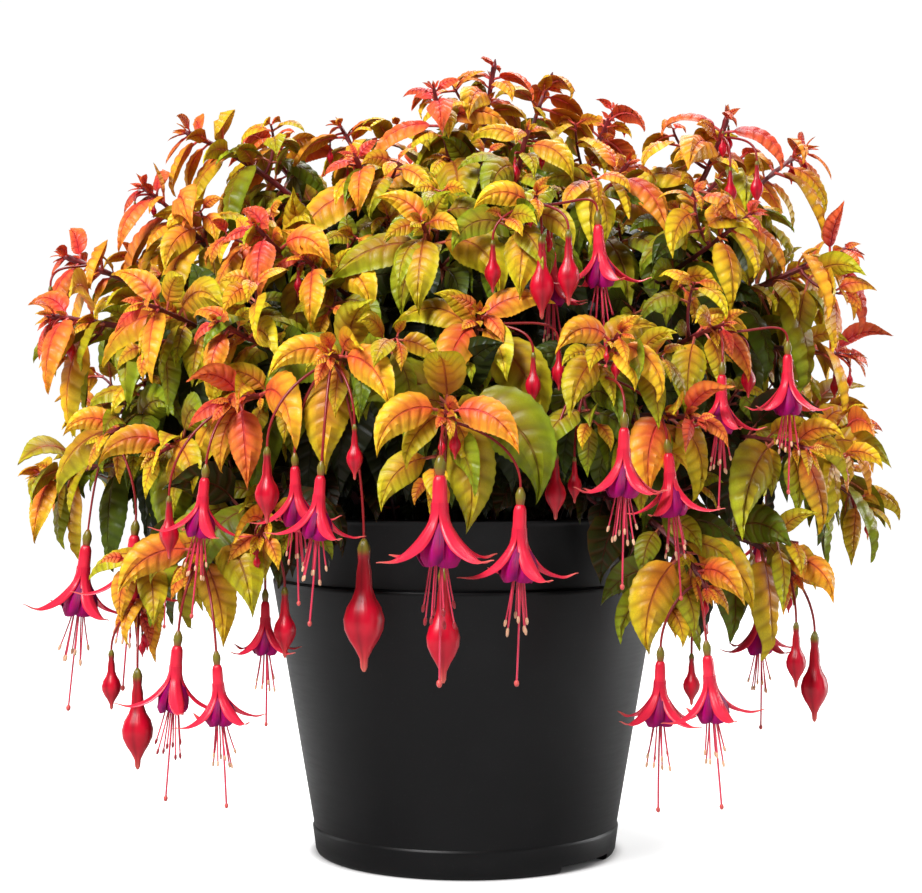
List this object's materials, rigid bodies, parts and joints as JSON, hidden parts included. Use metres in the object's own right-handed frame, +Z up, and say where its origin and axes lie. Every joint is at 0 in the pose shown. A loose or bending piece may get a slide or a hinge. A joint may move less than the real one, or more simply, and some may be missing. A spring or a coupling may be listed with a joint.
{
  "type": "potted trailing fuchsia",
  "caption": "Trailing fuchsia with golden and orange leaves and hanging red and purple flowers, standing in a round black plastic pot.",
  "frame": {"origin": "centre of the pot's flat underside", "axes": "+Z up along the pot's axis, -Y towards the plant's display side, +X to its right seen from there"},
  "size_m": [0.448, 0.4733, 0.411],
  "materials": {
    "pot": "satin, moulded",
    "soil": "crumbly bark compost",
    "foliage_golden": "golden leaves, semi-gloss, on red-brown stems",
    "foliage_orange": "coral and orange young leaves, semi-gloss, on red-brown stems",
    "foliage_green": "yellow-green leaves, semi-gloss, on red-brown stems",
    "foliage_olive": "olive leaves with dark red veins, semi-gloss, on red-brown stems",
    "bloom": "crimson sepals, tubes and threads, satin petal",
    "corolla": "deep purple rolled petals, satin"
  },
  "bodies": {
    "root": {"bloom_back": "bloom", "bloom_back_left": "bloom", "bloom_back_right": "bloom", "bloom_front_centre": "bloom", "bloom_front_left": "bloom", "bloom_front_right": "bloom", "bloom_left_hanging": "bloom", "bloom_left_inner": "bloom", "bloom_left_low": "bloom", "bloom_left_mid": "bloom", "bloom_right_end": "bloom", "bloom_right_hanging": "bloom", "bloom_right_mid": "bloom", "bloom_top_front": "bloom", "corolla_back_1": "corolla", "corolla_back_left_1": "corolla", "corolla_back_left_2": "corolla", "corolla_back_right_1": "corolla", "corolla_back_right_2": "corolla", "corolla_front_centre_1": "corolla", "corolla_front_centre_2": "corolla", "corolla_front_left_1": "corolla", "corolla_front_left_2": "corolla", "corolla_front_right_1": "corolla", "corolla_front_right_2": "corolla", "corolla_left_hanging_1": "corolla", "corolla_left_hanging_2": "corolla", "corolla_left_low_1": "corolla", "corolla_left_low_2": "corolla", "corolla_left_mid_1": "corolla", "corolla_right_hanging_1": "corolla", "corolla_right_hanging_2": "corolla", "corolla_right_mid_1": "corolla", "corolla_right_mid_2": "corolla", "corolla_top_front_1": "corolla", "corolla_top_front_2": "corolla", "pot": "pot", "soil": "soil", "spray_back_centre": "foliage_golden", "spray_back_left_low": "foliage_olive", "spray_back_left_upper": "foliage_orange", "spray_back_low": "foliage_green", "spray_back_right_low": "foliage_olive", "spray_back_right_upper": "foliage_golden", "spray_front_centre": "foliage_golden", "spray_front_left": "foliage_golden", "spray_front_right": "foliage_golden", "spray_left_hanging": "foliage_olive", "spray_left_low": "foliage_green", "spray_left_mid": "foliage_green", "spray_left_top": "foliage_orange", "spray_left_upper": "foliage_orange", "spray_right_hanging": "foliage_olive", "spray_right_low": "foliage_olive", "spray_right_mid": "foliage_orange", "spray_right_upper": "foliage_orange", "spray_top_centre": "foliage_orange", "spray_top_front": "foliage_green", "spray_top_left": "foliage_golden", "spray_top_right": "foliage_golden"}
  },
  "joints": []
}
